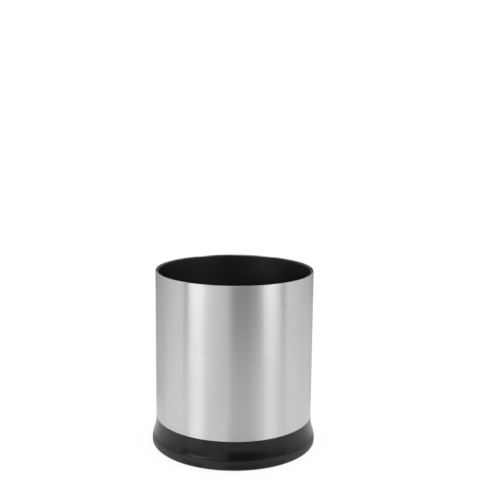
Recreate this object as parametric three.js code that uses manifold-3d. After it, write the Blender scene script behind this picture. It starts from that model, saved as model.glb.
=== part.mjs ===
// Rotating utensil holder: a brushed steel drum with a dark plastic cup inside it, which turns on a
// ball bearing over a weighted, non-slip base. A divider with three vanes lifts out of the cup.
// Millimetres, +Z up. The origin is the centre of the footprint, on the worktop.

import * as THREE from "three";
import { mergeVertices } from "three/addons/utils/BufferGeometryUtils.js";
import Module from "manifold-3d";

const wasm = await Module();
wasm.setup();

// Driving dimensions of the whole holder
const overallHeight = 180;
const sleeveRadius = 80;
const skirtFlare = 3.25; // how far the skirt's foot stands out past the sleeve
const skirtRise = 8.55; // from the skirt's flange up to its top
const bandProud = 0.75; // how far the fixed band's waist stands out past the skirt

// Clearances and steps shared by every piece
const fit = 0.3; // between two pieces that seat on or in each other
const spinGap = 0.35; // the dark line between the fixed band and the turning skirt
const overrun = 1; // how far a cutter runs past the face that it cuts
const visibleSteps = 72;
const coveredSteps = 48;
const innerSteps = 36;
const smallSteps = 12;

// Steel sleeve, and the liner and floor that make the cup inside it
const sleeveWall = 0.6;
const rimReveal = 0.8; // how far the steel stands above the liner
const linerWall = 2;
const linerLipRound = 0.5;
const floorThickness = 2.2;
const floorFootWall = 2;
const floorBossWall = 2.6;
const pegRadius = 4.5; // the corners of the hexagon that the divider stands over
const pegHeight = 8;

// Divider
const vaneCount = 3;
const vaneThickness = 2.4;
const vaneTurn = THREE.MathUtils.degToRad(90);
const dividerHubWall = 3.2;
const dividerDrop = 32; // from the liner's rim down to the divider's hub
const shoulderDrop = 18; // from the hub's top down to the vanes' ends
const vaneFootCut = 3; // off the outer lower corner of each vane
const topSteps = 6;
const slopeShares = [0.35, 0.7]; // where the top edge leaves the hub's level, and where it nears the wall's

// Skirt
const skirtWall = 1.6;
const skirtEdge = 0.6;
const flangeThickness = 2;
const flangeWidth = 7.5;
const flareSteps = 9;
const flareUpperShare = 0.58; // how far down the flare runs before it leaves the sleeve's line
const flareLowerShare = 0.81;
const flareOutShare = 0.75;

// Turntable
const turntableSkin = 0.6; // left over a screw's head
const hubWall = 5.7;
const hubRoof = 1.2;
const ribCount = 6;
const ribThickness = 2;
const ribStep = 2; // how far the ribs stay above the hub's end
const ribGap = 0.7; // from the ribs' ends to the cage that passes them

// Ball bearing
const ballCount = 12;
const ballRadius = 2.5;
const ballSteps = 8;
const ballRings = 6;
const raceMargin = 6.8; // from the races out to the turntable's screws
const raceShoulder = 1.3; // beside the groove
const raceWeb = 0.5; // metal left under the groove
const raceSeat = 0.5; // how deep a race sits in its moulding
const grooveShare = 0.4; // the groove's depth, of the ball's radius
const grooveSteps = 3;
const cageGap = 0.6; // from the cage to each race
const cageWall = 1.7;

// Pivot
const pivotRadius = 3;
const pivotHeadOverhang = 2.5;
const pivotHeadHeight = 1.7;
const pivotSocketRadius = 2.3;
const pivotSocketDepth = 1.1;
const bushWall = 2.2;
const bushFlangeWidth = 2.5;
const bushFlangeThickness = 1;
const washerWidth = 5.2;
const washerThickness = 1;

// Fixed base
const footProud = 0.6; // how far the foot ring stands below the band
const footWidth = 9;
const footInset = 1.5;
const footGroove = 0.8;
const coverSkin = 0.2; // left over a screw's head
const ballastThickness = 3;
const ballastBoreMargin = 4;
const ballastMargin = 3;
const deckThickness = 2.2;
const bandLip = 1; // how far the band stands above the deck
const bandWall = 2.05;
const bandTaper = 0.75; // from the band's waist in to its top
const bandWaistShare = 0.45; // how far up the band its waist is
const bandSwellSteps = 3;
const bandEdge = 1;
const bandEdgeSteps = 3;
const dustLipWall = 1.6;
const dustLipInset = 0.9; // inside the skirt's bore
const dustLipGap = 3; // below the turntable

// Countersunk screws, the same kind above and below
const screwRadius = 1.4;
const screwHeadOverhang = 1.7;
const screwHeadRim = 0.3;
const screwHeadHeight = 1.6;
const screwTip = 0.8;
const screwRoof = 0.9; // material left above a blind screw hole
const screwSlotWidth = 0.9;
const screwSlotLength = 3.4;
const screwSlotDepth = 0.8;
const drumScrewCount = 3;
const baseScrewCount = 4;
const baseBossWall = 2.1;
const baseScrewEdge = 5; // from the foot's groove to a screw's axis
const drumScrewTurn = THREE.MathUtils.degToRad(30);
const baseScrewTurn = THREE.MathUtils.degToRad(45);

// Sizes of the races and the cage, which follow from the balls
const grooveRadius = ballRadius + fit;
const grooveDepth = ballRadius * grooveShare;
const grooveRise = grooveRadius - grooveDepth; // from a race's face to the balls' centres
const grooveHalfWidth = Math.sqrt(grooveRadius ** 2 - grooveRise ** 2);
const raceThickness = raceWeb + grooveDepth;
const raceWidth = 2 * (grooveHalfWidth + raceShoulder);
const cageHalf = grooveRise - cageGap;

// Levels, from the worktop up
const coverThickness = screwHeadHeight + coverSkin;
const turntableThickness = screwHeadHeight + turntableSkin;
const coverBottom = footProud;
const coverTop = coverBottom + coverThickness;
const grooveTop = coverBottom + footGroove;
const footTop = grooveTop - fit;
const ballastBottom = coverTop + fit;
const ballastTop = ballastBottom + ballastThickness;
const pivotSpace = pivotHeadHeight + washerThickness + 2 * fit;
const deckBottom = Math.max(ballastTop, ballastBottom + pivotSpace - fit) + fit;
const deckTop = deckBottom + deckThickness;
const bandBottom = footProud;
const bandTop = deckTop + bandLip;
const lowerRaceBottom = deckTop - raceSeat + fit;
const ballLevel = lowerRaceBottom + raceWeb + grooveRadius;
const upperRaceTop = 2 * ballLevel - lowerRaceBottom;
const turntableBottom = upperRaceTop + fit - raceSeat;
const turntableTop = turntableBottom + turntableThickness;
const flangeBottom = turntableTop + fit;
const flangeTop = flangeBottom + flangeThickness;
const skirtBottom = bandTop + spinGap;
const skirtTop = flangeTop + skirtRise;
const floorFootBottom = flangeTop + fit;
const floorBossBottom = turntableTop + fit;
const floorTop = skirtTop;
const floorBottom = floorTop - floorThickness;
const seamLevel = skirtTop + fit; // where the sleeve and the liner stand on the skirt
const linerTop = overallHeight - rimReveal;
const pegTop = floorTop + pegHeight;
const dividerBottom = floorTop + fit;
const dividerTop = linerTop - dividerDrop;
const shoulderLevel = dividerTop - shoulderDrop;
const bushFlangeBottom = deckTop + fit;
const bushFlangeTop = bushFlangeBottom + bushFlangeThickness;
const hubBottom = bushFlangeTop + fit;
const hubBoreTop = turntableTop - hubRoof;
const ribBottom = hubBottom + ribStep;
const dustLipTop = turntableBottom - dustLipGap;
const washerTop = deckBottom - fit;
const washerBottom = washerTop - washerThickness;
const pivotHeadTop = washerBottom - fit;
const pivotHeadBottom = pivotHeadTop - pivotHeadHeight;
const pivotTip = hubBoreTop - fit;

// Radii that follow from the pieces around them
const skirtRadius = sleeveRadius + skirtFlare;
const bandRadius = skirtRadius + bandProud;
const screwHeadRadius = screwRadius + screwHeadOverhang;
const screwBoreRadius = screwRadius + fit;
const linerRadius = sleeveRadius - sleeveWall - fit;
const linerBore = linerRadius - linerWall;
const floorBossRadius = screwBoreRadius + floorBossWall - fit;
const skirtBore = sleeveRadius - skirtWall;
const turntableRadius = skirtBore - fit;
const flangeBore = turntableRadius - flangeWidth;
const drumScrewCircle = flangeBore - fit - floorBossRadius;
const vaneTipRadius = linerBore - fit;
const dividerHubRadius = pegRadius + fit + dividerHubWall;
const bandBore = bandRadius - bandTaper - bandWall;
const coverRadius = bandBore - fit;
const footRadius = coverRadius - footInset;
const footBore = footRadius - footWidth;
const baseBossRadius = screwBoreRadius + baseBossWall - fit;
const baseScrewCircle = footBore - baseScrewEdge;
const dustLipRadius = Math.min(skirtBore, bandBore) - dustLipInset;
const raceRadius = drumScrewCircle - screwHeadRadius - fit - raceMargin;
const raceBore = raceRadius - raceWidth;
const ballCircle = (raceBore + raceRadius) / 2;
const cageBore = ballCircle - grooveRadius - cageWall;
const cageRadius = ballCircle + grooveRadius + cageWall;
const bushBore = pivotRadius + fit;
const bushRadius = bushBore + bushWall;
const bushFlangeRadius = bushRadius + bushFlangeWidth;
const hubRadius = bushBore + hubWall;
const pivotHeadRadius = pivotRadius + pivotHeadOverhang;
const washerRadius = bushBore + washerWidth;
const ballastRadius = baseScrewCircle - baseBossRadius - ballastMargin;
const ballastBore = washerRadius + ballastBoreMargin;

// A closed manifold-3d solid from a three.js geometry, with shared corners merged.
function solid(geometry) {
  const bare = new THREE.BufferGeometry();
  bare.setAttribute("position", geometry.getAttribute("position"));
  bare.setIndex(geometry.index);
  const merged = mergeVertices(bare);
  const corners = [...merged.index.array];
  const triVerts = [];
  for (let i = 0; i < corners.length; i += 3) {
    const [a, b, c] = corners.slice(i, i + 3);
    if (a !== b && b !== c && c !== a) triVerts.push(a, b, c);
  }
  return new wasm.Manifold(
    new wasm.Mesh({
      numProp: 3,
      vertProperties: merged.attributes.position.array,
      triVerts: new Uint32Array(triVerts),
    }),
  );
}

// The three.js geometry of a manifold-3d solid.
function geometryOf(body) {
  const { numProp, vertProperties, triVerts } = body.getMesh();
  const geometry = new THREE.BufferGeometry();
  const points = new THREE.InterleavedBuffer(vertProperties, numProp);
  geometry.setAttribute("position", new THREE.InterleavedBufferAttribute(points, 3, 0));
  geometry.setIndex(new THREE.BufferAttribute(triVerts, 1));
  const flat = geometry.toNonIndexed();
  flat.computeVertexNormals();
  return flat;
}

// A solid of revolution about Z. The outline's points are [radius, height], counter-clockwise.
function turned(outline, steps) {
  const closed = [...outline, outline[0]];
  const points = closed.map(([radius, height]) => new THREE.Vector2(radius, height));
  return solid(new THREE.LatheGeometry(points, steps).rotateX(Math.PI / 2));
}

// A flat ring or, with no bore, a disc.
function ring(bore, radius, bottom, top, steps) {
  return turned([[bore, bottom], [radius, bottom], [radius, top], [bore, top]], steps);
}

// Points of an arc in an outline, from one angle to another.
function arc(radius, height, size, from, to, steps) {
  const curve = new THREE.EllipseCurve(radius, height, size, size, from, to, to < from);
  return curve.getPoints(steps).map((point) => [point.x, point.y]);
}

// Copies of a solid spaced evenly round Z, joined into one.
function joined(body, count, turn) {
  const step = THREE.MathUtils.radToDeg((2 * Math.PI) / count);
  const first = THREE.MathUtils.radToDeg(turn);
  let whole = body.rotate([0, 0, first]);
  for (let i = 1; i < count; i++) whole = whole.add(body.rotate([0, 0, first + i * step]));
  return whole;
}

// Every place in a ring of evenly spaced copies: its number from 1, and its angle.
function around(count, turn) {
  return Array.from({ length: count }, (_, i) => ({
    number: i + 1,
    angle: turn + (i * 2 * Math.PI) / count,
  }));
}

const materials = {
  steel: new THREE.MeshStandardMaterial({ color: 0xc4c4c4, roughness: 0.32, metalness: 1 }),
  brightSteel: new THREE.MeshStandardMaterial({ color: 0xd8d8da, roughness: 0.12, metalness: 1 }),
  ballast: new THREE.MeshStandardMaterial({ color: 0x6a6a6c, roughness: 0.6, metalness: 0.8 }),
  satinBlack: new THREE.MeshStandardMaterial({ color: 0x1b1b1c, roughness: 0.38, metalness: 0 }),
  matteBlack: new THREE.MeshStandardMaterial({ color: 0x19191a, roughness: 0.6, metalness: 0 }),
  rubber: new THREE.MeshStandardMaterial({ color: 0x141414, roughness: 0.9, metalness: 0 }),
  acetal: new THREE.MeshStandardMaterial({ color: 0xe6e4dc, roughness: 0.45, metalness: 0 }),
};

function piece(name, body, material) {
  const mesh = new THREE.Mesh(geometryOf(body), material);
  mesh.name = name;
  return mesh;
}

// Fasteners

function countersunkScrew(length) {
  const body = turned(
    [
      [0, 0],
      [screwHeadRadius, 0],
      [screwHeadRadius, screwHeadRim],
      [screwRadius, screwHeadHeight],
      [screwRadius, length - screwTip],
      [screwRadius / 2, length],
      [0, length],
    ],
    smallSteps,
  );
  const slot = new THREE.BoxGeometry(screwSlotLength, screwSlotWidth, 2 * screwSlotDepth);
  const cross = solid(slot).add(solid(slot).rotate([0, 0, 90]));
  return body.subtract(cross);
}

// The hole that takes such a screw in a plate, widened by the fit all round.
function countersunkHole() {
  return turned(
    [
      [0, -overrun],
      [screwHeadRadius + fit, -overrun],
      [screwHeadRadius + fit, screwHeadRim],
      [screwBoreRadius, screwHeadHeight],
      [screwBoreRadius, coverThickness + turntableThickness + overrun],
      [0, coverThickness + turntableThickness + overrun],
    ],
    smallSteps,
  );
}

// A post that takes a screw's end in a blind hole, open downwards.
function screwPost(radius, bottom, top) {
  return ring(0, radius, bottom, top, smallSteps);
}

function screwBore(bottom, top) {
  return ring(0, screwBoreRadius, bottom - overrun, top, smallSteps);
}

// The same screw in every place of a circle, each as its own piece.
function screws(name, count, turn, circle, level, length) {
  const body = countersunkScrew(length);
  return around(count, turn).map(({ number, angle }) => {
    const screw = piece(`${name}_${number}`, body, materials.brightSteel);
    screw.position.set(circle * Math.cos(angle), circle * Math.sin(angle), level);
    return screw;
  });
}

// Fixed base

function baseDish() {
  const bandTopRadius = bandRadius - bandTaper;
  const edge = Math.min(bandEdge, bandWall); // the band's lower edge is rounded by this much
  const lowerEdge = arc(bandRadius - edge, bandBottom + edge, edge, -Math.PI / 2, 0, bandEdgeSteps);
  const waist = bandBottom + (bandTop - bandBottom) * bandWaistShare;
  const rise = bandTop - waist;
  const swell = (rise ** 2 + bandTaper ** 2) / (2 * bandTaper); // the radius of the band's upper part
  const end = Math.asin(rise / swell);
  const body = turned(
    [
      [bushRadius + fit, deckBottom],
      [bandBore, deckBottom],
      [bandBore, bandBottom],
      ...lowerEdge,
      ...arc(bandRadius - swell, waist, swell, 0, end, bandSwellSteps).slice(0, -1),
      [bandTopRadius, bandTop],
      [bandBore, bandTop],
      [bandBore, deckTop],
      [dustLipRadius, deckTop],
      [dustLipRadius, dustLipTop],
      [dustLipRadius - dustLipWall, dustLipTop],
      [dustLipRadius - dustLipWall, deckTop],
      [raceRadius + fit, deckTop],
      [raceRadius + fit, deckTop - raceSeat],
      [raceBore - fit, deckTop - raceSeat],
      [raceBore - fit, deckTop],
      [bushRadius + fit, deckTop],
    ],
    visibleSteps,
  );
  const middle = (deckBottom + deckTop) / 2;
  const post = screwPost(baseBossRadius, ballastBottom, middle).translate([baseScrewCircle, 0, 0]);
  const bore = screwBore(ballastBottom, deckTop - screwRoof).translate([baseScrewCircle, 0, 0]);
  return body
    .add(joined(post, baseScrewCount, baseScrewTurn))
    .subtract(joined(bore, baseScrewCount, baseScrewTurn));
}

function bottomCover() {
  const body = turned(
    [
      [0, coverBottom],
      [footBore - fit, coverBottom],
      [footBore - fit, grooveTop],
      [footRadius + fit, grooveTop],
      [footRadius + fit, coverBottom],
      [coverRadius, coverBottom],
      [coverRadius, coverTop],
      [0, coverTop],
    ],
    coveredSteps,
  );
  const hole = countersunkHole().translate([baseScrewCircle, 0, coverBottom]);
  return body.subtract(joined(hole, baseScrewCount, baseScrewTurn));
}

function fixedBase() {
  const group = new THREE.Group();
  group.add(
    piece("base_dish", baseDish(), materials.matteBlack),
    piece("bottom_cover", bottomCover(), materials.matteBlack),
    piece("foot_ring", ring(footBore, footRadius, 0, footTop, coveredSteps), materials.rubber),
    piece(
      "ballast_plate",
      ring(ballastBore, ballastRadius, ballastBottom, ballastTop, innerSteps),
      materials.ballast,
    ),
    ...screws(
      "base_screw",
      baseScrewCount,
      baseScrewTurn,
      baseScrewCircle,
      coverBottom,
      deckTop - screwRoof - fit - coverBottom,
    ),
  );
  return group;
}

// Ball bearing: two pressed races, a cage and the balls

function race() {
  const edge = Math.acos(grooveRise / grooveRadius);
  const groove = arc(
    ballCircle,
    raceWeb + grooveRadius,
    grooveRadius,
    edge - Math.PI / 2,
    -edge - Math.PI / 2,
    grooveSteps,
  );
  return turned(
    [[raceBore, 0], [raceRadius, 0], [raceRadius, raceThickness], ...groove, [raceBore, raceThickness]],
    innerSteps,
  );
}

function ballCage() {
  const body = ring(cageBore, cageRadius, -cageHalf, cageHalf, innerSteps);
  const pocket = ring(0, grooveRadius, -cageHalf - overrun, cageHalf + overrun, smallSteps);
  return body.subtract(joined(pocket.translate([ballCircle, 0, 0]), ballCount, 0));
}

function bearingRaces() {
  const lower = piece("lower_race", race(), materials.brightSteel);
  lower.position.z = lowerRaceBottom;
  const upper = piece("upper_race", race(), materials.brightSteel);
  upper.rotation.x = Math.PI;
  upper.position.z = upperRaceTop;
  return { lower, upper };
}

function rollingSet() {
  const group = new THREE.Group();
  group.position.z = ballLevel;
  group.add(piece("ball_cage", ballCage(), materials.acetal));
  const ball = solid(new THREE.SphereGeometry(ballRadius, ballSteps, ballRings));
  for (const { number, angle } of around(ballCount, 0)) {
    const name = `ball_${String(number).padStart(2, "0")}`;
    const mesh = piece(name, ball, materials.brightSteel);
    mesh.position.set(ballCircle * Math.cos(angle), ballCircle * Math.sin(angle), 0);
    group.add(mesh);
  }
  return group;
}

// Pivot: the screw turns with the drum, in a bush that the base holds

function pivotBush() {
  return turned(
    [
      [bushBore, deckBottom],
      [bushRadius, deckBottom],
      [bushRadius, bushFlangeBottom],
      [bushFlangeRadius, bushFlangeBottom],
      [bushFlangeRadius, bushFlangeTop],
      [bushBore, bushFlangeTop],
    ],
    smallSteps * 2,
  );
}

function pivotScrew() {
  const body = turned(
    [
      [0, pivotHeadBottom],
      [pivotHeadRadius, pivotHeadBottom],
      [pivotHeadRadius, pivotHeadTop],
      [pivotRadius, pivotHeadTop],
      [pivotRadius, pivotTip],
      [0, pivotTip],
    ],
    smallSteps * 2,
  );
  const socketTop = pivotHeadBottom + pivotSocketDepth;
  const hexagon = ring(0, pivotSocketRadius, pivotHeadBottom - overrun, socketTop, 6);
  return body.subtract(hexagon);
}

// Turning drum

function turntable() {
  const body = turned(
    [
      [0, hubBoreTop],
      [bushBore, hubBoreTop],
      [bushBore, hubBottom],
      [hubRadius, hubBottom],
      [hubRadius, turntableBottom],
      [raceBore - fit, turntableBottom],
      [raceBore - fit, turntableBottom + raceSeat],
      [raceRadius + fit, turntableBottom + raceSeat],
      [raceRadius + fit, turntableBottom],
      [turntableRadius, turntableBottom],
      [turntableRadius, turntableTop],
      [0, turntableTop],
    ],
    coveredSteps,
  );
  const ribStart = (bushBore + hubRadius) / 2;
  const ribEnd = Math.min(raceBore, cageBore) - ribGap;
  const middle = (turntableBottom + turntableTop) / 2;
  const ribHeight = middle - ribBottom;
  const bar = new THREE.BoxGeometry(ribEnd - ribStart, ribThickness, ribHeight);
  const rib = solid(bar.translate((ribStart + ribEnd) / 2, 0, middle - ribHeight / 2));
  const hole = countersunkHole().translate([drumScrewCircle, 0, turntableBottom]);
  return body
    .add(joined(rib, ribCount, 0))
    .subtract(joined(hole, drumScrewCount, drumScrewTurn));
}

function skirtRing() {
  const flareBottom = skirtBottom + skirtEdge;
  const fall = skirtTop - flareBottom;
  const flare = new THREE.CubicBezierCurve(
    new THREE.Vector2(skirtRadius, flareBottom),
    new THREE.Vector2(
      sleeveRadius + (skirtRadius - sleeveRadius) * flareOutShare,
      skirtTop - fall * flareLowerShare,
    ),
    new THREE.Vector2(sleeveRadius, skirtTop - fall * flareUpperShare),
    new THREE.Vector2(sleeveRadius, skirtTop),
  );
  return turned(
    [
      [flangeBore, flangeBottom],
      [skirtBore, flangeBottom],
      [skirtRadius - skirtWall, skirtBottom],
      [skirtRadius - skirtEdge, skirtBottom],
      ...flare.getPoints(flareSteps).map((point) => [point.x, point.y]),
      [skirtBore, skirtTop],
      [skirtBore, flangeTop],
      [flangeBore, flangeTop],
    ],
    visibleSteps,
  );
}

function liner() {
  const lip = Math.min(linerLipRound, linerWall / 3); // the rim's two edges are cut by this much
  return turned(
    [
      [linerBore, seamLevel],
      [linerRadius, seamLevel],
      [linerRadius, linerTop - lip],
      [linerRadius - lip, linerTop],
      [linerBore + lip, linerTop],
      [linerBore, linerTop - lip],
    ],
    visibleSteps,
  );
}

// The floor's foot stands on the skirt's flange, and screws from below clamp the flange.
function cupFloor() {
  const body = turned(
    [
      [0, floorBottom],
      [turntableRadius - floorFootWall, floorBottom],
      [turntableRadius - floorFootWall, floorFootBottom],
      [turntableRadius, floorFootBottom],
      [turntableRadius, floorTop],
      [0, floorTop],
    ],
    coveredSteps,
  );
  const middle = (floorBottom + floorTop) / 2;
  const post = screwPost(floorBossRadius, floorBossBottom, middle);
  const bore = screwBore(floorBossBottom, floorTop - screwRoof);
  return body
    .add(joined(post.translate([drumScrewCircle, 0, 0]), drumScrewCount, drumScrewTurn))
    .add(ring(0, pegRadius, middle, pegTop, 6))
    .subtract(joined(bore.translate([drumScrewCircle, 0, 0]), drumScrewCount, drumScrewTurn));
}

function drum(upperRace) {
  const sleeveBore = sleeveRadius - sleeveWall;
  const group = new THREE.Group();
  group.add(
    piece("turntable", turntable(), materials.matteBlack),
    piece("skirt_ring", skirtRing(), materials.satinBlack),
    piece(
      "steel_sleeve",
      ring(sleeveBore, sleeveRadius, seamLevel, overallHeight, visibleSteps),
      materials.steel,
    ),
    piece("liner", liner(), materials.matteBlack),
    piece("cup_floor", cupFloor(), materials.matteBlack),
    piece("pivot_screw", pivotScrew(), materials.brightSteel),
    piece(
      "pivot_washer",
      ring(bushBore, washerRadius, washerBottom, washerTop, smallSteps * 2),
      materials.brightSteel,
    ),
    ...screws(
      "drum_screw",
      drumScrewCount,
      drumScrewTurn,
      drumScrewCircle,
      turntableBottom,
      floorTop - screwRoof - fit - turntableBottom,
    ),
    upperRace,
  );
  return group;
}

// Divider: three vanes on a hub, cut to a top edge that falls from the hub to the wall

// One upright wall from the middle out past the liner's bore.
function vane(bottom, top) {
  const reach = linerBore + overrun;
  const wall = new THREE.BoxGeometry(reach, vaneThickness, top - bottom);
  return solid(wall.translate(reach / 2, 0, (bottom + top) / 2));
}

function divider() {
  const slope = new THREE.CubicBezierCurve(
    new THREE.Vector2(vaneTipRadius, shoulderLevel),
    new THREE.Vector2(vaneTipRadius * slopeShares[1], shoulderLevel),
    new THREE.Vector2(vaneTipRadius * slopeShares[0], dividerTop),
    new THREE.Vector2(0, dividerTop),
  );
  const envelope = turned(
    [
      [0, dividerBottom],
      [vaneTipRadius - vaneFootCut, dividerBottom],
      [vaneTipRadius, dividerBottom + vaneFootCut],
      ...slope.getPoints(topSteps).map((point) => [point.x, point.y]),
    ],
    coveredSteps,
  );
  const above = dividerTop + overrun;
  const below = dividerBottom - overrun;
  const vanes = joined(vane(below, above), vaneCount, vaneTurn);
  const hub = ring(0, dividerHubRadius, below, above, smallSteps * 2);
  const socket = ring(0, pegRadius + fit, below, pegTop + fit, 6);
  return vanes.add(hub).intersect(envelope).subtract(socket);
}

const races = bearingRaces();

const base = fixedBase();
base.add(races.lower, piece("pivot_bush", pivotBush(), materials.acetal));

const holder = new THREE.Group();
holder.add(base, rollingSet(), drum(races.upper));
holder.add(piece("divider", divider(), materials.matteBlack));

export default holder;
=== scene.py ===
"""Looks of the rotating utensil holder: brushed steel drum, dark cup and divider, black skirt and base."""

import math
from collections import namedtuple

import bmesh
import bpy
from mathutils import Matrix, Vector


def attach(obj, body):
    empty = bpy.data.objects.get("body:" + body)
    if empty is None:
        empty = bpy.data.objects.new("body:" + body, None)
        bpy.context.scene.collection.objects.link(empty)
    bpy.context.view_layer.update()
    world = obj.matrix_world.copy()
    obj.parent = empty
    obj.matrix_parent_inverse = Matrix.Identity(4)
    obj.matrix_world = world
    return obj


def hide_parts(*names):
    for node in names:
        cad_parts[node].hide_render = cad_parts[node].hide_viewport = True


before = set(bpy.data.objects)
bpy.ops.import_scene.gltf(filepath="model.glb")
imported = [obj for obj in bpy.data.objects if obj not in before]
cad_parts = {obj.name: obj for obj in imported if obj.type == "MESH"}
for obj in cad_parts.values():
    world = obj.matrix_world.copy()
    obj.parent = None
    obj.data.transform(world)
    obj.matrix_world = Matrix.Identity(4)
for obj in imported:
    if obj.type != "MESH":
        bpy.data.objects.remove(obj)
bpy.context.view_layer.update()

MM = 0.001
SHARP = math.radians(34)  # an edge that turns more than this is shaded as sharp
WELD = 1e-7  # metres within which a cut leaves one point instead of two

# How many sides the round pieces have
FINE_STEPS = 288
PLAIN_STEPS = 144
SMALL_STEPS = 48

Measures = namedtuple("Measures", "bottom top bore radius")


def measured(node):
    """A node's levels and its distances from the drum's axis, in millimetres to two decimals."""
    points = [vert.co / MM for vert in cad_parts[node].data.vertices]
    levels = [point.z for point in points]
    radii = [math.hypot(point.x, point.y) for point in points]
    limits = (min(levels), max(levels), min(radii), max(radii))
    return Measures(*(round(limit, 2) for limit in limits))


# The nodes that give the sizes

SLEEVE = measured("steel_sleeve")
LINER = measured("liner")
SKIRT = measured("skirt_ring")
DISH = measured("base_dish")
COVER = measured("bottom_cover")
FOOT = measured("foot_ring")
BALLAST = measured("ballast_plate")
TURNTABLE = measured("turntable")
LOWER_RACE = measured("lower_race")
UPPER_RACE = measured("upper_race")
BALL = measured("ball_01")
SCREW = measured("base_screw_1")
DIVIDER = measured("divider")

# Sizes in millimetres

FIT = 0.3  # the gap between two pieces that seat on or in each other

SKIRT_WALL = 1.6
SKIRT_BORE = SLEEVE.radius - SKIRT_WALL
FLANGE_THICKNESS = 2.0
FLANGE_BOTTOM = TURNTABLE.top + FIT
FLANGE_TOP = FLANGE_BOTTOM + FLANGE_THICKNESS

RACE_SEAT = 0.5  # how deep the lower race sits in the deck
RACE_WIDTH = 6.9
RACE_BORE = LOWER_RACE.radius - RACE_WIDTH
BALL_CIRCLE = LOWER_RACE.radius - RACE_WIDTH / 2
BALL_RADIUS = (BALL.top - BALL.bottom) / 2

DECK_BOTTOM = BALLAST.top + FIT
DECK_TOP = LOWER_RACE.bottom - FIT + RACE_SEAT
BAND_LIP = 1.0  # how far the band stands above the deck
BAND_TOP = DECK_TOP + BAND_LIP
BAND_WAIST_SHARE = 0.45  # how far up the band its waist is
BAND_WAIST = DISH.bottom + BAND_WAIST_SHARE * (BAND_TOP - DISH.bottom)
BAND_TAPER = 0.75  # from the band's waist in to its top
BAND_BORE = COVER.radius + FIT
DUST_LIP_INSET = 0.9  # inside the skirt's bore
DUST_LIP_WALL = 1.6
DUST_LIP_RADIUS = SKIRT_BORE - DUST_LIP_INSET
DUST_LIP_BORE = DUST_LIP_RADIUS - DUST_LIP_WALL

SCREW_COUNT = 4
SCREW_EDGE = 5.0  # from the foot pad's bore in to a screw's axis
SCREW_CIRCLE = FOOT.bore - SCREW_EDGE
SCREW_RADIUS = 1.4
SCREW_TIP = 0.8  # the length over which the screw's end narrows
HEAD_RADIUS = 3.1
HEAD_RIM = 0.3  # the height of the head's straight edge
HEAD_HEIGHT = 1.6
RECESS_LENGTH, RECESS_WIDTH, RECESS_DEPTH = 3.4, 0.8, 0.8
POST_WALL = 2.1
POST_BORE = SCREW_RADIUS + FIT
POST_BOTTOM = COVER.top + FIT
POST_ROOF = SCREW.top + FIT


# Mesh helpers


def add_object(name, data):
    """An object in the scene that shows a mesh or a camera."""
    obj = bpy.data.objects.new(name, data)
    bpy.context.scene.collection.objects.link(obj)
    return obj


def add_mesh(name, bm):
    """An object from a bmesh in metres, which is freed."""
    mesh = bpy.data.meshes.new(name)
    bm.to_mesh(mesh)
    bm.free()
    return add_object(name, mesh)


def shade(bm):
    """Shades all faces smooth, and marks the sharp edges."""
    for edge in bm.edges:
        edge.smooth = len(edge.link_faces) == 2 and edge.calc_face_angle() < SHARP
    for face in bm.faces:
        face.smooth = True


def add_solid(name, bm):
    """A shaded object from a bmesh in millimetres, with its faces turned outwards."""
    bmesh.ops.scale(bm, vec=(MM, MM, MM), verts=bm.verts)
    bmesh.ops.recalc_face_normals(bm, faces=bm.faces)
    shade(bm)
    return add_mesh(name, bm)


def rounded(corners, steps=5):
    """An outline's points from (radius, height, fillet) corners: each fillet becomes an arc."""
    points = []
    for i, (radius, height, fillet) in enumerate(corners):
        here = Vector((radius, height))
        if not fillet:
            points.append(here)
            continue
        before = (Vector(corners[i - 1][:2]) - here).normalized()
        after = (Vector(corners[(i + 1) % len(corners)][:2]) - here).normalized()
        half = before.angle(after) / 2
        reach = fillet / math.tan(half)
        centre = here + (before + after).normalized() * (fillet / math.sin(half))
        start = here + before * reach - centre
        end = here + after * reach - centre
        turn = start.angle_signed(end)
        for k in range(steps + 1):
            points.append(centre + Matrix.Rotation(-turn * k / steps, 2) @ start)
    return points


def lathe(name, points, steps):
    """A closed outline of (radius, height) points turned round Z."""
    bm = bmesh.new()
    rings = []
    for radius, height in points:
        if radius == 0:
            rings.append([bm.verts.new((0, 0, height))] * steps)
            continue
        angles = (2 * math.pi * k / steps for k in range(steps))
        rings.append([bm.verts.new((radius * math.cos(a), radius * math.sin(a), height)) for a in angles])
    for ring, following in zip(rings, rings[1:] + rings[:1]):
        for k in range(steps):
            n = (k + 1) % steps
            corners = dict.fromkeys((ring[k], ring[n], following[n], following[k]))
            if len(corners) > 2:
                bm.faces.new(list(corners))
    return add_solid(name, bm)


def add_prism(bm, sides, radius, low, high, axis=(0, 0)):
    """Adds an upright prism to a bmesh, between two levels round the axis at (x, y)."""
    bmesh.ops.create_cone(
        bm,
        cap_ends=True,
        segments=sides,
        radius1=radius,
        radius2=radius,
        depth=high - low,
        matrix=Matrix.Translation((*axis, (low + high) / 2)),
    )


def bezier(controls, steps):
    """Points along the cubic curve of four control points."""
    points = []
    for k in range(steps + 1):
        t = k / steps
        u = 1 - t
        weights = (u**3, 3 * u * u * t, 3 * u * t * t, t**3)
        points.append(sum((Vector(p) * weight for p, weight in zip(controls, weights)), Vector((0, 0))))
    return points


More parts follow.
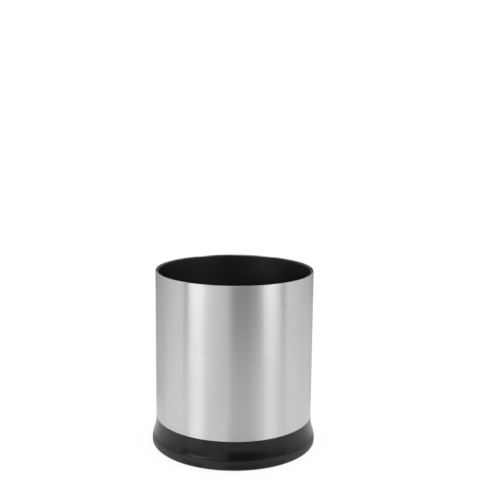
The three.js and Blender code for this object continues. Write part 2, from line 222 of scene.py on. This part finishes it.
def cut(piece, cutter, operation="DIFFERENCE"):
    """Takes the cutter out of the piece, or joins it on with "UNION", and deletes the cutter."""
    modifier = piece.modifiers.new("cut", "BOOLEAN")
    modifier.operation = operation
    modifier.solver = "EXACT"
    modifier.object = cutter
    graph = bpy.context.evaluated_depsgraph_get()
    mesh = bpy.data.meshes.new_from_object(piece.evaluated_get(graph))
    piece.modifiers.clear()
    piece.data = mesh
    bm = bmesh.new()
    bm.from_mesh(mesh)
    bmesh.ops.remove_doubles(bm, verts=bm.verts, dist=WELD)
    bmesh.ops.dissolve_degenerate(bm, edges=bm.edges, dist=WELD)
    shade(bm)
    bm.to_mesh(mesh)
    bm.free()
    bpy.data.objects.remove(cutter)


def fit_out(piece, body, slot, material, *nodes):
    """Puts a piece on its body, with its material, in place of its nodes. The slot is not used."""
    piece.data.materials.clear()
    piece.data.materials.append(material)
    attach(piece, body)
    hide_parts(*nodes)


# Materials

NOISE_LOW, NOISE_HIGH = 0.3, 0.7  # the span in which most of a noise's values lie


def grey(level):
    """A neutral colour."""
    return (level, level, level)


class Nodes:
    """Short calls for building one material's node tree."""

    def __init__(self, name):
        self.material = bpy.data.materials.new(name)
        self.material.use_nodes = True
        self.tree = self.material.node_tree
        self.shader = self.tree.nodes["Principled BSDF"]

    def add(self, kind, **settings):
        """A new node with its settings."""
        node = self.tree.nodes.new(kind)
        for key, value in settings.items():
            setattr(node, key, value)
        return node

    def link(self, output, target):
        """Feeds one socket from another."""
        self.tree.links.new(output, target)

    def feed(self, value, key):
        """Feeds one of the shader's sockets."""
        self.link(value, self.shader.inputs[key])

    def fix(self, **values):
        """Sets the shader's own numbers."""
        for key, value in values.items():
            self.shader.inputs[key.replace("_", " ")].default_value = value

    def show(self, shader):
        """Puts another shader in place of the Principled one."""
        self.tree.nodes.remove(self.shader)
        self.shader = shader
        self.link(shader.outputs[0], self.tree.nodes["Material Output"].inputs["Surface"])

    def noise(self, scale, detail=3.0, roughness=0.55, stretch=(1, 1, 1)):
        """Noise in object space, at a scale per metre."""
        where = self.add("ShaderNodeTexCoord")
        mapping = self.add("ShaderNodeMapping")
        mapping.inputs["Scale"].default_value = stretch
        self.link(where.outputs["Object"], mapping.inputs["Vector"])
        noise = self.add("ShaderNodeTexNoise")
        noise.inputs["Scale"].default_value = scale
        noise.inputs["Detail"].default_value = detail
        noise.inputs["Roughness"].default_value = roughness
        self.link(mapping.outputs["Vector"], noise.inputs["Vector"])
        return noise.outputs["Fac"]

    def mean(self, first, second):
        """The mean of two values."""
        node = self.add("ShaderNodeMix")
        node.inputs["Factor"].default_value = 0.5
        self.link(first, node.inputs["A"])
        self.link(second, node.inputs["B"])
        return node.outputs["Result"]

    def calculate(self, operation, first, second):
        """Two values put together by a math node."""
        node = self.add("ShaderNodeMath", operation=operation)
        self.link(first, node.inputs[0])
        self.link(second, node.inputs[1])
        return node.outputs[0]

    def spread(self, value, low, high, start=NOISE_LOW, end=NOISE_HIGH):
        """A value spread over low to high, as it goes from start to end."""
        node = self.add("ShaderNodeMapRange")
        for key, number in (("From Min", start), ("From Max", end), ("To Min", low), ("To Max", high)):
            node.inputs[key].default_value = number
        self.link(value, node.inputs["Value"])
        return node.outputs["Result"]

    def tint(self, value, dark, light):
        """The shader's colour, on a ramp from dark to light."""
        ramp = self.add("ShaderNodeValToRGB")
        ends = ((NOISE_LOW, dark), (NOISE_HIGH, light))
        for element, (position, colour) in zip(ramp.color_ramp.elements, ends):
            element.position = position
            element.color = (*colour, 1)
        self.link(value, ramp.inputs["Fac"])
        self.feed(ramp.outputs["Color"], "Base Color")

    def bump(self, value, depth, strength=1.0):
        """Bump of a real depth in metres."""
        node = self.add("ShaderNodeBump")
        node.inputs["Strength"].default_value = strength
        node.inputs["Distance"].default_value = depth
        self.link(value, node.inputs["Height"])
        self.feed(node.outputs["Normal"], "Normal")


def brushed_steel():
    """Steel brushed round the drum: fine level lines, and reflections drawn out up and down."""
    look = Nodes("brushed_steel")
    fine = look.noise(60, detail=6, roughness=0.7, stretch=(0.35, 0.35, 60))
    strokes = look.noise(60, detail=4, roughness=0.65, stretch=(0.8, 0.8, 14))
    lines = look.mean(fine, strokes)
    broad = look.noise(9, detail=2, stretch=(0.6, 0.6, 3))
    look.fix(Metallic=1.0, Anisotropic=0.93, Anisotropic_Rotation=0.25)
    look.tint(lines, grey(0.52), grey(0.61))
    streaks = look.spread(lines, -0.035, 0.035)
    patches = look.spread(broad, 0.33, 0.35)
    look.feed(look.calculate("ADD", streaks, patches), "Roughness")
    look.bump(fine, depth=0.000002, strength=0.5)
    tangent = look.add("ShaderNodeTangent", direction_type="RADIAL", axis="Z")
    look.feed(tangent.outputs["Tangent"], "Tangent")
    return look.material


def cut_edge():
    """The sheared and buffed edge of the sheet."""
    look = Nodes("steel_cut_edge")
    fine = look.noise(900, detail=2)
    look.fix(Metallic=1.0)
    look.tint(fine, grey(0.62), grey(0.7))
    look.feed(look.spread(fine, 0.22, 0.32), "Roughness")
    return look.material


def plastic(name, dark, light, roughness, grain, depth, specular=0.3):
    """Moulded plastic: slight changes of colour and gloss, over a fine spark-eroded texture."""
    look = Nodes(name)
    look.fix(Specular_IOR_Level=specular)
    cloud = look.noise(14, detail=4)
    texture = look.noise(grain, detail=3, roughness=0.6)
    look.tint(cloud, dark, light)
    broad = look.spread(cloud, *roughness)
    fine = look.spread(texture, -0.03, 0.03)
    look.feed(look.calculate("ADD", broad, fine), "Roughness")
    look.bump(texture, depth)
    return look.material


def plated(name, dark, light, roughness):
    """Bright plated or ground steel with faint wear."""
    look = Nodes(name)
    wear = look.noise(260, detail=5, roughness=0.65)
    look.fix(Metallic=1.0)
    look.tint(wear, dark, light)
    look.feed(look.spread(wear, *roughness), "Roughness")
    look.bump(wear, depth=0.000004, strength=0.4)
    return look.material


def rolled_plate():
    """Plain rolled steel weight with a dull mottled skin."""
    look = Nodes("rolled_plate")
    mottle = look.noise(55, detail=6, roughness=0.7)
    look.fix(Metallic=0.85)
    look.tint(mottle, (0.09, 0.088, 0.086), (0.17, 0.168, 0.165))
    look.feed(look.spread(mottle, 0.5, 0.72), "Roughness")
    look.bump(mottle, depth=0.00004)
    return look.material


STEEL = brushed_steel()
EDGE = cut_edge()
SATIN = plastic("satin_black", grey(0.0045), grey(0.0065), (0.2, 0.25), grain=2600, depth=0.000006)
MATTE = plastic(
    "matte_black", grey(0.007), grey(0.0095), (0.42, 0.5), grain=3000, depth=0.00002, specular=0.38
)
CUP = plastic("cup_black", grey(0.0045), grey(0.0065), (0.4, 0.48), grain=2400, depth=0.00002)
RUBBER = plastic("foot_rubber", grey(0.009), grey(0.014), (0.78, 0.88), grain=2200, depth=0.00003)
ACETAL = plastic(
    "natural_acetal", (0.74, 0.73, 0.69), (0.8, 0.79, 0.75), (0.38, 0.46), grain=1800, depth=0.000012
)
PLATED = plated("bright_plated", (0.62, 0.62, 0.63), (0.72, 0.72, 0.735), (0.18, 0.32))
GROUND = plated("ground_ball", (0.7, 0.7, 0.71), (0.74, 0.74, 0.75), (0.05, 0.09))
PLATE = rolled_plate()


# The drum and the base


def drum_sleeve():
    """The steel tube, with a buffed cut edge at the rim and at the foot."""
    rim_round = 0.22
    foot_round = 0.2
    rim_buffed = 1.2 * rim_round  # how far down from the rim the sheet is buffed
    points = rounded(
        [
            (SLEEVE.bore, SLEEVE.bottom, 0.1),
            (SLEEVE.radius, SLEEVE.bottom, foot_round),
            (SLEEVE.radius, SLEEVE.top, rim_round),
            (SLEEVE.bore, SLEEVE.top, rim_round),
        ]
    )
    piece = lathe("drum_sleeve", points, FINE_STEPS)
    fit_out(piece, "drum", "sleeve_steel", STEEL, "steel_sleeve")
    piece.data.materials.append(EDGE)
    brushed_bottom = (SLEEVE.bottom + foot_round) * MM
    brushed_top = (SLEEVE.top - rim_buffed) * MM
    for polygon in piece.data.polygons:
        if not brushed_bottom <= polygon.center.z <= brushed_top:
            polygon.material_index = 1


def drum_skirt():
    """The flared skirt, with softened edges at the seam and at the turning gap."""
    flare_bottom = SKIRT.bottom + 0.4
    flare_top = SKIRT.top - 0.3
    fall = SKIRT.top - flare_bottom
    out = SKIRT.radius - SLEEVE.radius
    lower_out, lower_fall, upper_fall = 0.875, 0.947, 0.54  # shares that place the curve's inner controls
    flare = bezier(
        [
            (SKIRT.radius, flare_bottom),
            (SLEEVE.radius + lower_out * out, SKIRT.top - lower_fall * fall),
            (SLEEVE.radius, SKIRT.top - upper_fall * fall),
            (SLEEVE.radius, flare_top),
        ],
        steps=40,
    )
    inside = rounded(
        [
            (SLEEVE.radius, SKIRT.top, 0.25),
            (SKIRT_BORE, SKIRT.top, 0.2),
            (SKIRT_BORE, FLANGE_TOP, 0),
            (SKIRT.bore, FLANGE_TOP, 0.2),
            (SKIRT.bore, FLANGE_BOTTOM, 0.2),
            (SKIRT_BORE, FLANGE_BOTTOM, 0),
            (SKIRT.radius - SKIRT_WALL, SKIRT.bottom, 0.2),
            (SKIRT.radius, SKIRT.bottom, 0.25),
            (SKIRT.radius, flare_bottom, 0),
        ]
    )
    inside.pop()  # the flare starts at this last corner
    piece = lathe("drum_skirt", inside + flare, FINE_STEPS)
    fit_out(piece, "drum", "satin_black", SATIN, "skirt_ring")


def base_band():
    """The fixed dish: its band is what shows under the skirt."""
    rise = BAND_TOP - BAND_WAIST
    swell = (rise**2 + BAND_TAPER**2) / (2 * BAND_TAPER)  # the radius of the band's rounded upper part
    swell_steps = 12
    upper = []
    for k in range(1, swell_steps):
        z = rise * k / swell_steps
        upper.append((DISH.radius - swell + math.sqrt(swell**2 - z**2), BAND_WAIST + z, 0))
    points = rounded(
        [
            (DISH.bore, DECK_BOTTOM, 0),
            (BAND_BORE, DECK_BOTTOM, 0),
            (BAND_BORE, DISH.bottom, 0.25),
            (DISH.radius, DISH.bottom, 1.0),
            (DISH.radius, BAND_WAIST, 0),
            *upper,
            (DISH.radius - BAND_TAPER, BAND_TOP, 0.3),
            (BAND_BORE, BAND_TOP, 0.2),
            (BAND_BORE, DECK_TOP, 0),
            (DUST_LIP_RADIUS, DECK_TOP, 0),
            (DUST_LIP_RADIUS, DISH.top, 0.3),
            (DUST_LIP_BORE, DISH.top, 0.3),
            (DUST_LIP_BORE, DECK_TOP, 0),
            (LOWER_RACE.radius + FIT, DECK_TOP, 0),
            (LOWER_RACE.radius + FIT, DECK_TOP - RACE_SEAT, 0),
            (RACE_BORE - FIT, DECK_TOP - RACE_SEAT, 0),
            (RACE_BORE - FIT, DECK_TOP, 0),
            (DISH.bore, DECK_TOP, 0),
        ],
        steps=8,
    )
    piece = lathe("base_band", points, FINE_STEPS)
    overrun = 1.0
    posts = screw_cylinders("posts", SCREW_RADIUS + POST_WALL, POST_BOTTOM, (DECK_BOTTOM + DECK_TOP) / 2)
    bores = screw_cylinders("bores", POST_BORE, POST_BOTTOM - overrun, POST_ROOF)
    cut(piece, posts, "UNION")
    cut(piece, bores)
    fit_out(piece, "base", "matte_black", MATTE, "base_dish")


def screw_cylinders(name, radius, low, high):
    """A cylinder on each base screw's axis, all in one object."""
    bm = bmesh.new()
    for angle in screw_angles():
        add_prism(bm, SMALL_STEPS, radius, low, high, axis=screw_place(angle).xy / MM)
    return add_solid(name, bm)


def cup_liner():
    """The dark wall inside the steel, with a rounded lip."""
    points = rounded(
        [
            (LINER.bore, LINER.bottom, 0),
            (LINER.radius, LINER.bottom, 0),
            (LINER.radius, LINER.top, 0.5),
            (LINER.bore, LINER.top, 0.9),
        ]
    )
    piece = lathe("cup_liner", points, FINE_STEPS)
    fit_out(piece, "drum", "matte_black", CUP, "liner")


def foot_pad():
    """The rubber ring that touches the worktop."""
    points = rounded(
        [
            (FOOT.bore, FOOT.bottom, 0.35),
            (FOOT.radius, FOOT.bottom, 0.35),
            (FOOT.radius, FOOT.top, 0.1),
            (FOOT.bore, FOOT.top, 0.1),
        ]
    )
    piece = lathe("foot_pad", points, FINE_STEPS)
    fit_out(piece, "base", "foot_rubber", RUBBER, "foot_ring")


def base_cover():
    """The plate that closes the base, grooved for the foot pad and countersunk for the screws."""
    groove_top = FOOT.top + FIT
    points = rounded(
        [
            (0, COVER.bottom, 0),
            (FOOT.bore - FIT, COVER.bottom, 0.15),
            (FOOT.bore - FIT, groove_top, 0),
            (FOOT.radius + FIT, groove_top, 0),
            (FOOT.radius + FIT, COVER.bottom, 0.15),
            (COVER.radius, COVER.bottom, 0.25),
            (COVER.radius, COVER.top, 0),
            (0, COVER.top, 0),
        ]
    )
    piece = lathe("base_cover", points, PLAIN_STEPS)
    below = COVER.bottom - 1
    above = COVER.bottom + 3
    sink = [
        (0, below),
        (HEAD_RADIUS + FIT, below),
        (HEAD_RADIUS + FIT, COVER.bottom + HEAD_RIM),
        (SCREW_RADIUS + FIT, COVER.bottom + HEAD_HEIGHT),
        (SCREW_RADIUS + FIT, above),
        (0, above),
    ]
    for angle in screw_angles():
        cutter = lathe("sink", sink, SMALL_STEPS)
        cutter.location = screw_place(angle)
        cut(piece, cutter)
    fit_out(piece, "base", "matte_black", MATTE, "bottom_cover")


def screw_angles():
    """The base screws' directions from the drum's axis."""
    first = math.radians(45)
    return [first + 2 * math.pi * k / SCREW_COUNT for k in range(SCREW_COUNT)]


def screw_place(angle):
    """Where a base screw's axis meets the worktop, in metres."""
    return Vector((math.cos(angle), math.sin(angle), 0)) * SCREW_CIRCLE * MM


def base_screws():
    """The countersunk screws with cross recesses, each turned a little further than the one before."""
    points = rounded(
        [
            (0, SCREW.bottom, 0),
            (HEAD_RADIUS, SCREW.bottom, 0.12),
            (HEAD_RADIUS, SCREW.bottom + HEAD_RIM, 0.08),
            (SCREW_RADIUS, SCREW.bottom + HEAD_HEIGHT, 0),
            (SCREW_RADIUS, SCREW.top - SCREW_TIP, 0),
            (SCREW_RADIUS / 2, SCREW.top, 0.2),
            (0, SCREW.top, 0),
        ]
    )
    turn_step = 0.4
    pattern = lathe("screw_pattern", points, SMALL_STEPS)
    for turn in (0, math.pi / 2):
        bm = bmesh.new()
        bmesh.ops.create_cube(bm, size=1)
        bmesh.ops.scale(bm, vec=(RECESS_LENGTH, RECESS_WIDTH, 2 * RECESS_DEPTH), verts=bm.verts)
        bmesh.ops.rotate(bm, matrix=Matrix.Rotation(turn, 3, "Z"), verts=bm.verts)
        bmesh.ops.translate(bm, vec=(0, 0, SCREW.bottom), verts=bm.verts)
        cut(pattern, add_solid("recess", bm))
    for k, angle in enumerate(screw_angles()):
        turn = Matrix.Rotation(angle + turn_step * k, 4, "Z")
        mesh = pattern.data.copy()
        mesh.transform(Matrix.Translation(screw_place(angle)) @ turn)
        piece = add_object(f"base_screw_head_{k + 1}", mesh)
        fit_out(piece, "base", "bright_steel", PLATED, f"base_screw_{k + 1}")
    bpy.data.objects.remove(pattern)


# The divider: a plan with three vanes round a hub, and a top that slopes down to the wall

VANE_COUNT = 3
VANE_TURN = math.radians(90)  # from +X to the first vane
VANE_HALF = 1.2  # half of a vane's thickness
VANE_FOOT_CUT = 3.0  # off the outer lower corner of each vane
TIP_ROUND = 0.9  # how far the rounding at a vane's tip reaches back
HUB_RADIUS = 8.0
HUB_FILLET = 3.0  # in the corner between a vane and the hub
FILLET_Y = VANE_HALF + HUB_FILLET
FILLET_X = math.sqrt((HUB_RADIUS + HUB_FILLET) ** 2 - FILLET_Y**2)
HUB_START = math.atan2(FILLET_Y, FILLET_X)  # the angle at which the fillet gives way to the hub
FOOT_BEVEL = 0.3
TOP_ROUND = 0.9
SOCKET_RADIUS = 4.8  # the corners of the hexagon that stands over the cup floor's peg
SOCKET_HEIGHT = 8.0
SHOULDER_DROP = 18.0  # from the hub's top down to the top at the vanes' tips
SLOPE_START, SLOPE_END = 0.35, 0.7  # shares of the radius that place the slope's inner controls

FILLET_STEPS = 8
VANE_STEPS = 39
TIP_STEPS = 8
HUB_STEPS = 10
TOP_STEPS = 5

SHOULDER = DIVIDER.top - SHOULDER_DROP
SLOPE = bezier(
    [
        (0, DIVIDER.top),
        (SLOPE_START * DIVIDER.radius, DIVIDER.top),
        (SLOPE_END * DIVIDER.radius, SHOULDER),
        (DIVIDER.radius, SHOULDER),
    ],
    steps=60,
)


def top_height(radius):
    """The level of the divider's top at a radius, between two points of the sloping curve."""
    for (inner, high), (outer, low) in zip(SLOPE, SLOPE[1:]):
        if radius <= outer:
            return high + (low - high) * (radius - inner) / (outer - inner)
    return SHOULDER


def foot_height(radius):
    """The level of the divider's foot at a radius: it rises where the vanes' lower corners are cut."""
    return DIVIDER.bottom + max(0, radius - DIVIDER.radius + VANE_FOOT_CUT)


def vane_side(inset):
    """One side of a vane along X, from the hub's fillet out to the tip, drawn in by an inset."""
    points = []
    low = math.pi + HUB_START
    high = 1.5 * math.pi
    for k in range(FILLET_STEPS + 1):
        a = low + (high - low) * k / FILLET_STEPS
        radius = HUB_FILLET + inset
        points.append((FILLET_X + radius * math.cos(a), FILLET_Y + radius * math.sin(a)))
    length = DIVIDER.radius - inset - TIP_ROUND - FILLET_X
    for k in range(1, VANE_STEPS + 1):
        points.append((FILLET_X + length * k / VANE_STEPS, VANE_HALF - inset))
    return points


def vane_tip(inset):
    """The rounding at a vane's tip, between its two sides."""
    points = []
    for k in range(1, TIP_STEPS):
        a = math.pi * (k / TIP_STEPS - 0.5)
        x = DIVIDER.radius - inset - TIP_ROUND + TIP_ROUND * math.cos(a)
        points.append((x, (VANE_HALF - inset) * math.sin(a)))
    return points


def hub_arc(inset):
    """The hub's wall from one vane's fillet to the next vane's."""
    radius = HUB_RADIUS - inset
    sweep = 2 * math.pi / VANE_COUNT - 2 * HUB_START
    angles = [HUB_START + sweep * k / HUB_STEPS for k in range(1, HUB_STEPS)]
    return [(radius * math.cos(a), radius * math.sin(a)) for a in angles]


def divider_ring(bm, inset, height, lift):
    """One closed loop of the plan, drawn in by an inset, and lifted from the height at each radius."""
    side = vane_side(inset)
    vane = [(x, -y) for x, y in side] + vane_tip(inset) + side[::-1] + hub_arc(inset)
    loop = []
    for k in range(VANE_COUNT):
        turn = VANE_TURN + 2 * math.pi * k / VANE_COUNT
        for x, y in vane:
            turned_x = x * math.cos(turn) - y * math.sin(turn)
            turned_y = x * math.sin(turn) + y * math.cos(turn)
            loop.append(bm.verts.new((turned_x, turned_y, height(math.hypot(x, y)) + lift)))
    return loop


def cap_divider(bm, loop, level):
    """Closes one end: strips across each vane, and a fan over the hub to its middle at a level."""
    side = FILLET_STEPS + 1 + VANE_STEPS
    tip = TIP_STEPS - 1
    per_vane = len(loop) // VANE_COUNT
    hub = []
    for k in range(VANE_COUNT):
        part = loop[k * per_vane:(k + 1) * per_vane]
        right = part[:side]
        left = part[side + tip:2 * side + tip][::-1]
        for i in range(FILLET_STEPS, side - 1):
            bm.faces.new([right[i], right[i + 1], left[i + 1], left[i]])
        bm.faces.new([right[-1], *part[side:side + tip], left[-1]])
        hub += right[:FILLET_STEPS + 1] + left[FILLET_STEPS::-1] + part[2 * side + tip:]
    centre = bm.verts.new((0, 0, level))
    for vert, following in zip(hub, hub[1:] + hub[:1]):
        bm.faces.new([vert, following, centre])


def lift_out_divider():
    """The loose insert: bevelled below, rounded over on top, with a socket that stands over the peg."""
    bm = bmesh.new()
    rings = [
        divider_ring(bm, FOOT_BEVEL, foot_height, lift=0),
        divider_ring(bm, 0, foot_height, lift=FOOT_BEVEL),
    ]
    for k in range(TOP_STEPS + 1):
        a = math.pi / 2 * k / TOP_STEPS
        inset = TOP_ROUND * (1 - math.cos(a))
        rings.append(divider_ring(bm, inset, top_height, lift=-TOP_ROUND * (1 - math.sin(a))))
    for lower, upper in zip(rings, rings[1:]):
        for k in range(len(lower)):
            n = (k + 1) % len(lower)
            bm.faces.new([lower[k], lower[n], upper[n], upper[k]])
    cap_divider(bm, rings[0], DIVIDER.bottom)
    cap_divider(bm, rings[-1], DIVIDER.top)
    piece = add_solid("lift_out_divider", bm)
    overrun = 1.2
    socket = bmesh.new()
    socket_top = DIVIDER.bottom + SOCKET_HEIGHT
    add_prism(socket, sides=6, radius=SOCKET_RADIUS, low=DIVIDER.bottom - overrun, high=socket_top)
    cut(piece, add_solid("socket", socket))
    fit_out(piece, "insert", "matte_black", CUP, "divider")


# The bearing, which only shows when the base is taken apart


def bearing_balls():
    """Twelve ground balls in a circle."""
    count = 12
    for k in range(count):
        bm = bmesh.new()
        bmesh.ops.create_icosphere(bm, subdivisions=3, radius=BALL_RADIUS)
        a = 2 * math.pi * k / count
        centre = (BALL_CIRCLE * math.cos(a), BALL_CIRCLE * math.sin(a), (BALL.bottom + BALL.top) / 2)
        bmesh.ops.translate(bm, vec=centre, verts=bm.verts)
        piece = add_solid(f"bearing_ball_{k + 1:02d}", bm)
        fit_out(piece, "bearing", "bright_steel", GROUND, f"ball_{k + 1:02d}")


def bearing_races():
    """Two grooved rings, the upper one turned over."""
    groove = BALL_RADIUS + FIT
    web = 0.5  # metal left under the groove
    depth = 1.0
    half = math.acos((groove - depth) / groove)
    steps = 12
    arc = []
    for k in range(steps + 1):
        a = -math.pi / 2 + half - 2 * half * k / steps
        arc.append((BALL_CIRCLE + groove * math.cos(a), web + groove + groove * math.sin(a)))
    outline = [
        (RACE_BORE, 0),
        (LOWER_RACE.radius, 0),
        (LOWER_RACE.radius, web + depth),
        *arc,
        (RACE_BORE, web + depth),
    ]
    lower = lathe("race_below", [(r, LOWER_RACE.bottom + z) for r, z in outline], PLAIN_STEPS)
    fit_out(lower, "base", "bright_steel", PLATED, "lower_race")
    upper = lathe("race_above", [(r, UPPER_RACE.top - z) for r, z in outline], PLAIN_STEPS)
    fit_out(upper, "drum", "bright_steel", PLATED, "upper_race")


drum_sleeve()
drum_skirt()
base_band()
cup_liner()
foot_pad()
base_cover()
base_screws()
lift_out_divider()
bearing_balls()
bearing_races()

# The nodes that stay as they are get their materials
KEPT = {
    "cup_floor": CUP,
    "turntable": MATTE,
    "ballast_plate": PLATE,
    "pivot_bush": ACETAL,
    "ball_cage": ACETAL,
    "pivot_screw": PLATED,
    "pivot_washer": PLATED,
    "drum_screw_1": PLATED,
    "drum_screw_2": PLATED,
    "drum_screw_3": PLATED,
}
for node, material in KEPT.items():
    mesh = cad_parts[node].data
    mesh.materials.clear()
    mesh.materials.append(material)


# Studio: white world and floor, and cards that only the reflections see. Its sizes are in metres.

FLOOR_RADIUS = 30
FLOOR_LEVEL = -0.0002  # just under the foot pad
FLOOR_SHADE, FLOOR_GLOW = 0.16, 0.87
CARD_LEVEL = 0.002  # of the cards that lie on the floor
CARD_COLUMNS = 16
UPRIGHT = 1.3  # how far out most of the upright cards stand
WALL_HEIGHT = 1.2


def studio_floor():
    """The pale floor: it glows to the eye and in reflections, with a painted shadow under the base where
    the glow is taken out.
    """
    bm = bmesh.new()
    bmesh.ops.create_circle(bm, cap_ends=True, segments=96, radius=FLOOR_RADIUS)
    obj = add_mesh("studio_floor", bm)
    obj.location.z = FLOOR_LEVEL
    look = Nodes("studio_floor")
    diffuse = look.add("ShaderNodeBsdfDiffuse")
    diffuse.inputs["Color"].default_value = (*grey(FLOOR_SHADE), 1)
    ray = look.add("ShaderNodeLightPath")
    seen = look.calculate("MAXIMUM", ray.outputs["Is Camera Ray"], ray.outputs["Is Glossy Ray"])
    place = look.add("ShaderNodeNewGeometry")
    reach = look.add("ShaderNodeVectorMath", operation="LENGTH")
    look.link(place.outputs["Position"], reach.inputs[0])
    dark, lit = (DISH.radius - 1.6) * MM, (DISH.radius - 0.8) * MM  # painted shadow under the base: no glow inside the first radius, full glow from the second
    clear = look.spread(reach.outputs["Value"], 0, FLOOR_GLOW, start=dark, end=lit)
    glow = look.add("ShaderNodeEmission")
    look.link(look.calculate("MULTIPLY", seen, clear), glow.inputs["Strength"])
    both = look.add("ShaderNodeAddShader")
    look.link(diffuse.outputs[0], both.inputs[0])
    look.link(glow.outputs[0], both.inputs[1])
    look.show(both)
    obj.data.materials.append(look.material)


def studio_world():
    """Even white light from all round."""
    world = bpy.data.worlds.new("studio")
    bpy.context.scene.world = world
    world.use_nodes = True
    background = world.node_tree.nodes["Background"]
    background.inputs["Color"].default_value = (1, 1, 1, 1)
    background.inputs["Strength"].default_value = 1.0


def card_material():
    """Light from the card's own level."""
    look = Nodes("studio_card")
    level = look.add("ShaderNodeAttribute", attribute_name="glow")
    glow = look.add("ShaderNodeEmission")
    look.link(level.outputs["Fac"], glow.inputs["Strength"])
    look.show(glow)
    return look.material


CARD = card_material()


def card(name, levels, azimuths, profile):
    """A card that only reflections see, glowing from one level to another across its azimuths.

    Azimuths are in degrees from the camera's side. Each column follows the light that the drum's wall
    sends that way. The profile gives its points: metres out from the wall, height, share of the level.
    """
    bm = bmesh.new()
    glow = bm.verts.layers.float.new("glow")
    rows = []
    for reach, z, part in profile:
        row = []
        for k in range(CARD_COLUMNS + 1):
            share = k / CARD_COLUMNS
            a = math.radians(azimuths[0] + (azimuths[1] - azimuths[0]) * share)
            wall = Vector((math.sin(a / 2), -math.cos(a / 2), 0)) * SLEEVE.radius * MM
            vert = bm.verts.new(wall + Vector((math.sin(a), -math.cos(a), 0)) * reach + Vector((0, 0, z)))
            vert[glow] = part * (levels[0] + (levels[1] - levels[0]) * share)
            row.append(vert)
        rows.append(row)
    for low, high in zip(rows, rows[1:]):
        for k in range(CARD_COLUMNS):
            bm.faces.new([low[k], low[k + 1], high[k + 1], high[k]])
    obj = add_mesh(name, bm)
    obj.data.materials.append(CARD)
    obj.visible_camera = False
    obj.visible_diffuse = False
    obj.visible_shadow = False
    obj.visible_transmission = False


def lying(*points):
    """A profile's points along the floor, from (metres out, share) pairs."""
    return [(reach, CARD_LEVEL, share) for reach, share in points]


def standing(reach, *points):
    """A profile's points straight up at one distance, from (height, share) pairs."""
    return [(reach, height, share) for height, share in points]


def even(start):
    """A profile of one level, along the floor from a distance and then straight up."""
    return lying((start, 1.0), (UPRIGHT, 1.0)) + standing(UPRIGHT, (WALL_HEIGHT, 1.0))


def front_cards():
    """The floor before the drum, the dark flags over its far part, and the pale gap left of them."""
    # the low shares next to the wall are a painted shadow: the floor the reflections see, darkened near
    # the base where the drum shades it
    near = lying((0.004, 0.25), (0.02, 0.9), (0.06, 0.95), (0.12, 1.2), (0.25, 1.15), (0.6, 0.9))
    flag_reach = 1.6
    flag = lying((0.6, 1.0), (flag_reach, 1.0))
    flag += standing(flag_reach, (0.72, 1.0), (0.84, 9.5), (1.3, 13.0))
    card("left_gap", (1.0, 0.84), (-30, -11), even(0.12))
    card("front_floor_left", (1.0, 0.85), (-11, -1), near)
    card("front_floor", (0.85, 0.85), (-1, 17), near)
    card("front_floor_right", (0.85, 0.9), (17, 39), near)
    card("front_flag_left", (0.38, 0.02), (-10, -1.5), flag)
    card("front_flag", (0.02, 0.02), (-1.5, 20), flag)
    card("front_flag_right", (0.02, 0.13), (20, 42), flag)


def box_cards():
    """The bright boxes on the left and on the right, and the dark frames beside them."""
    # in both profiles the low shares next to the wall are a painted shadow on the floor the reflections
    # see, near the base
    left = lying((0.004, 0.25), (0.02, 0.8), (0.06, 0.85), (0.2, 0.7), (0.45, 0.9), (0.8, 0.82))
    left += lying((UPRIGHT, 0.5))
    left += standing(UPRIGHT, (0.1, 0.22), (0.32, 0.22), (0.42, 4.2), (0.5, 4.2), (0.58, 0.5), (1.5, 1.5))
    right = lying((0.004, 0.25), (0.02, 0.85), (0.06, 0.73), (0.2, 0.7), (0.45, 0.86), (0.8, 0.72))
    right += lying((UPRIGHT, 0.5))
    right += standing(UPRIGHT, (0.1, 0.25), (0.6, 0.25), (0.8, 4.2), (1.5, 6.2))
    card("left_box", (1.68, 1.76), (-67.5, -48), left)
    card("left_box_fade", (1.76, 1.15), (-48, -39.5), left)
    card("left_box_frame", (0.0, 0.0), (-74.5, -68.5), even(0.7))
    card("right_box", (1.45, 1.55), (46, 71.5), right)
    card("right_box_fade", (0.7, 1.45), (42, 46), right)
    card("right_box_frame", (0.35, 0.35), (71.5, 77.5), even(0.55))


def room_cards():
    """The floor and the walls at the sides and behind."""
    back = lying((0.12, 1.0), (0.8, 1.0))
    side = lying((0.04, 1.0), (0.08, 1.12), (0.3, 1.12), (0.5, 1.0))
    wall = even(0.8)
    card("left_back", (0.55, 0.93), (-175, -116), back)
    card("right_back", (0.9, 0.7), (140, 175), back)
    card("left_floor", (1.0, 1.06), (-118, -70), side)
    card("right_floor", (1.0, 1.0), (82, 112), side)
    card("left_wall", (0.25, 0.62), (-175, -118), wall)
    card("left_wall_near", (0.62, 1.04), (-118, -74.5), wall)
    card("right_wall", (1.03, 0.25), (77.5, 175), wall)


def camera():
    """The photograph's viewpoint: distance, height, tilt and roll found from the drum's outlines."""
    photo_width = 480  # pixels
    focal_length = 886.95  # pixels
    sensor_width = 36  # millimetres
    place = Vector((5.19, -881.8, 360.25)) * MM
    pitch, roll = 0.169, 0.0088  # radians
    forward = Vector((0, math.cos(pitch), -math.sin(pitch)))
    level = Vector((1, 0, 0))
    upward = Vector((0, math.sin(pitch), math.cos(pitch)))
    right = level * math.cos(roll) + upward * math.sin(roll)
    up = upward * math.cos(roll) - level * math.sin(roll)
    data = bpy.data.cameras.new("camera")
    data.sensor_width = sensor_width
    data.lens = focal_length / photo_width * sensor_width
    data.clip_start, data.clip_end = 0.01, 200
    obj = add_object("camera", data)
    obj.matrix_world = Matrix.Translation(place) @ Matrix((right, up, -forward)).transposed().to_4x4()
    bpy.context.scene.camera = obj


studio_floor()
studio_world()
front_cards()
box_cards()
room_cards()
camera()

scene = bpy.context.scene
scene.view_settings.view_transform = "Standard"
